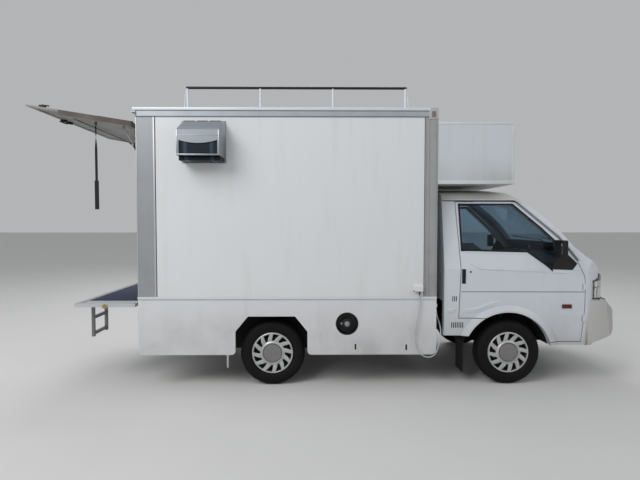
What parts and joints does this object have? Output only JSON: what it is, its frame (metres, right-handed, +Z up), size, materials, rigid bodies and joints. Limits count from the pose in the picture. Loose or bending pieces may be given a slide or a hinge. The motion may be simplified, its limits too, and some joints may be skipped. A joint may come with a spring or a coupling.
{
  "type": "ice cream truck",
  "caption": "Small ice cream truck with a short-nosed cab, tall box body, vent cowl, roof rails, raised rear flap, lowered gate with steps, serving hatch and shelf.",
  "frame": {"origin": "on the ground, at the middle of the vehicle's length and width with the flap and gate open", "axes": "+X forward, +Y to the vehicle's left, +Z up"},
  "size_m": [5.6324, 2.22, 2.817],
  "materials": {
    "painted_white": "gloss",
    "panel_white": "satin",
    "post_grey": "satin",
    "silver_trim": "satin",
    "dark_steel": "satin",
    "cast_grey": "matte",
    "stainless": "satin",
    "black_plastic": "satin",
    "grey_plastic": "matte",
    "clear_glass": "gloss",
    "seat_cloth": "matte",
    "tyre_rubber": "matte",
    "cover_silver": "satin",
    "lamp_lens": "gloss",
    "red_lens": "gloss",
    "floor_wood": "satin",
    "bumper_white": "satin",
    "webbing": "matte",
    "lead_sheath": "satin"
  },
  "bodies": {
    "body": {"chassis_frame": "dark_steel", "engine_block": "cast_grey", "rear_axle": "dark_steel", "propeller_shaft": "dark_steel", "leaf_springs": "dark_steel", "exhaust": "stainless", "fuel_tank": "dark_steel", "front_suspension": "dark_steel", "front_liners": "black_plastic", "rear_liners": "black_plastic", "cab_shell": "painted_white", "cab_roof": "painted_white", "cab_floor": "dark_steel", "cab_glass": "clear_glass", "dashboard": "grey_plastic", "seats": "seat_cloth", "steering_wheel": "black_plastic", "headlamps": "lamp_lens", "front_bumper": "bumper_white", "box_floor": "floor_wood", "box_wall_right": "panel_white", "box_wall_left": "panel_white", "box_front_wall": "post_grey", "box_rear_frame": "post_grey", "box_roof": "panel_white", "roof_moulding": "silver_trim", "box_skirts": "panel_white", "roof_rails": "black_plastic", "over_cab_box": "panel_white", "vent_cowl": "stainless", "power_inlet": "panel_white", "power_lead": "lead_sheath", "rear_lamps": "red_lens", "freezer_cabinet": "panel_white"},
    "door_right": {"door_right": "painted_white", "door_glass_right": "clear_glass", "door_mirror_right": "black_plastic"},
    "knuckle_right": {"knuckle_right": "cast_grey"},
    "door_left": {"door_left": "painted_white", "door_glass_left": "clear_glass", "door_mirror_left": "black_plastic"},
    "knuckle_left": {"knuckle_left": "cast_grey"},
    "wheel_front_right": {"tyre_front_right": "tyre_rubber", "wheel_front_right": "cover_silver"},
    "wheel_front_left": {"tyre_front_left": "tyre_rubber", "wheel_front_left": "cover_silver"},
    "wheel_rear_right": {"tyre_rear_right": "tyre_rubber", "wheel_rear_right": "cover_silver"},
    "wheel_rear_left": {"tyre_rear_left": "tyre_rubber", "wheel_rear_left": "cover_silver"},
    "rear_flap": {"rear_flap": "panel_white"},
    "strut_tubes": {"strut_tubes": "black_plastic"},
    "strut_rods": {"strut_rods": "stainless"},
    "pull_strap": {"pull_strap": "webbing"},
    "rear_gate": {"rear_gate": "post_grey"},
    "step_frame": {"step_frame": "dark_steel"},
    "serving_hatch": {"serving_hatch": "panel_white"},
    "counter_shelf": {"counter_shelf": "stainless"}
  },
  "joints": [
    {"name": "steer_right", "type": "hinge", "parent": "body", "child": "knuckle_right", "pos_m": [1.714, -0.6, 0.306], "axis": [0, 0, 1], "range_deg": [-33, 33]},
    {"name": "steer_left", "type": "hinge", "parent": "body", "child": "knuckle_left", "pos_m": [1.714, 0.6, 0.306], "axis": [0, 0, 1], "range_deg": [-33, 33]},
    {"name": "spin_front_right", "type": "hinge", "parent": "knuckle_right", "child": "wheel_front_right", "pos_m": [1.714, -0.735, 0.306], "axis": [0, 1, 0], "continuous": true},
    {"name": "spin_front_left", "type": "hinge", "parent": "knuckle_left", "child": "wheel_front_left", "pos_m": [1.714, 0.735, 0.306], "axis": [0, 1, 0], "continuous": true},
    {"name": "spin_rear_right", "type": "hinge", "parent": "body", "child": "wheel_rear_right", "pos_m": [-0.528, -0.735, 0.306], "axis": [0, 1, 0], "continuous": true},
    {"name": "spin_rear_left", "type": "hinge", "parent": "body", "child": "wheel_rear_left", "pos_m": [-0.528, 0.735, 0.306], "axis": [0, 1, 0], "continuous": true},
    {"name": "door_right_swing", "type": "hinge", "parent": "body", "child": "door_right", "pos_m": [2.413, -0.828, 0.944], "axis": [0, 0, 1], "range_deg": [0, 65]},
    {"name": "door_left_swing", "type": "hinge", "parent": "body", "child": "door_left", "pos_m": [2.413, 0.828, 0.944], "axis": [0, 0, -1], "range_deg": [0, 65]},
    {"name": "flap_swing", "type": "hinge", "parent": "body", "child": "rear_flap", "pos_m": [-1.796, 0, 2.441], "axis": [0, -1, 0], "range_deg": [0, 99]},
    {"name": "strut_tube_swing", "type": "hinge", "parent": "body", "child": "strut_tubes", "pos_m": [-1.69, 0, 2.034], "axis": [0, 1, 0], "range_deg": [0, 17.29]},
    {"name": "strut_rod_slide", "type": "slide", "parent": "strut_tubes", "child": "strut_rods", "axis": [0.4918, 0, -0.8707], "range_m": [0, 0.134]},
    {"name": "strap_hang", "type": "hinge", "parent": "rear_flap", "child": "pull_strap", "pos_m": [-2.17342, -0.77, 2.45522], "axis": [0, 1, 0], "range_deg": [0, 99.5]},
    {"name": "gate_swing", "type": "hinge", "parent": "body", "child": "rear_gate", "pos_m": [-1.783, 0, 0.774], "axis": [0, 1, 0], "range_deg": [0, 90]},
    {"name": "step_fold", "type": "hinge", "parent": "rear_gate", "child": "step_frame", "pos_m": [-2.277, -0.522, 0.734], "axis": [0, -1, 0], "range_deg": [0, 90]},
    {"name": "hatch_swing", "type": "hinge", "parent": "body", "child": "serving_hatch", "pos_m": [-0.2, 0.901, 2.134], "axis": [1, 0, 0], "range_deg": [0, 90]},
    {"name": "shelf_fold", "type": "hinge", "parent": "body", "child": "counter_shelf", "pos_m": [-0.2, 0.9, 1.1165], "axis": [-1, 0, 0], "range_deg": [0, 90]}
  ],
  "couplings": [
    {"joint": "steer_left", "follows": "steer_right", "ratio": 1},
    {"joint": "strut_tube_swing", "follows": "flap_swing", "ratio": 0.17266},
    {"joint": "strut_rod_slide", "follows": "flap_swing", "m_per_rad": 0.076952},
    {"joint": "strap_hang", "follows": "flap_swing", "ratio": 1}
  ]
}
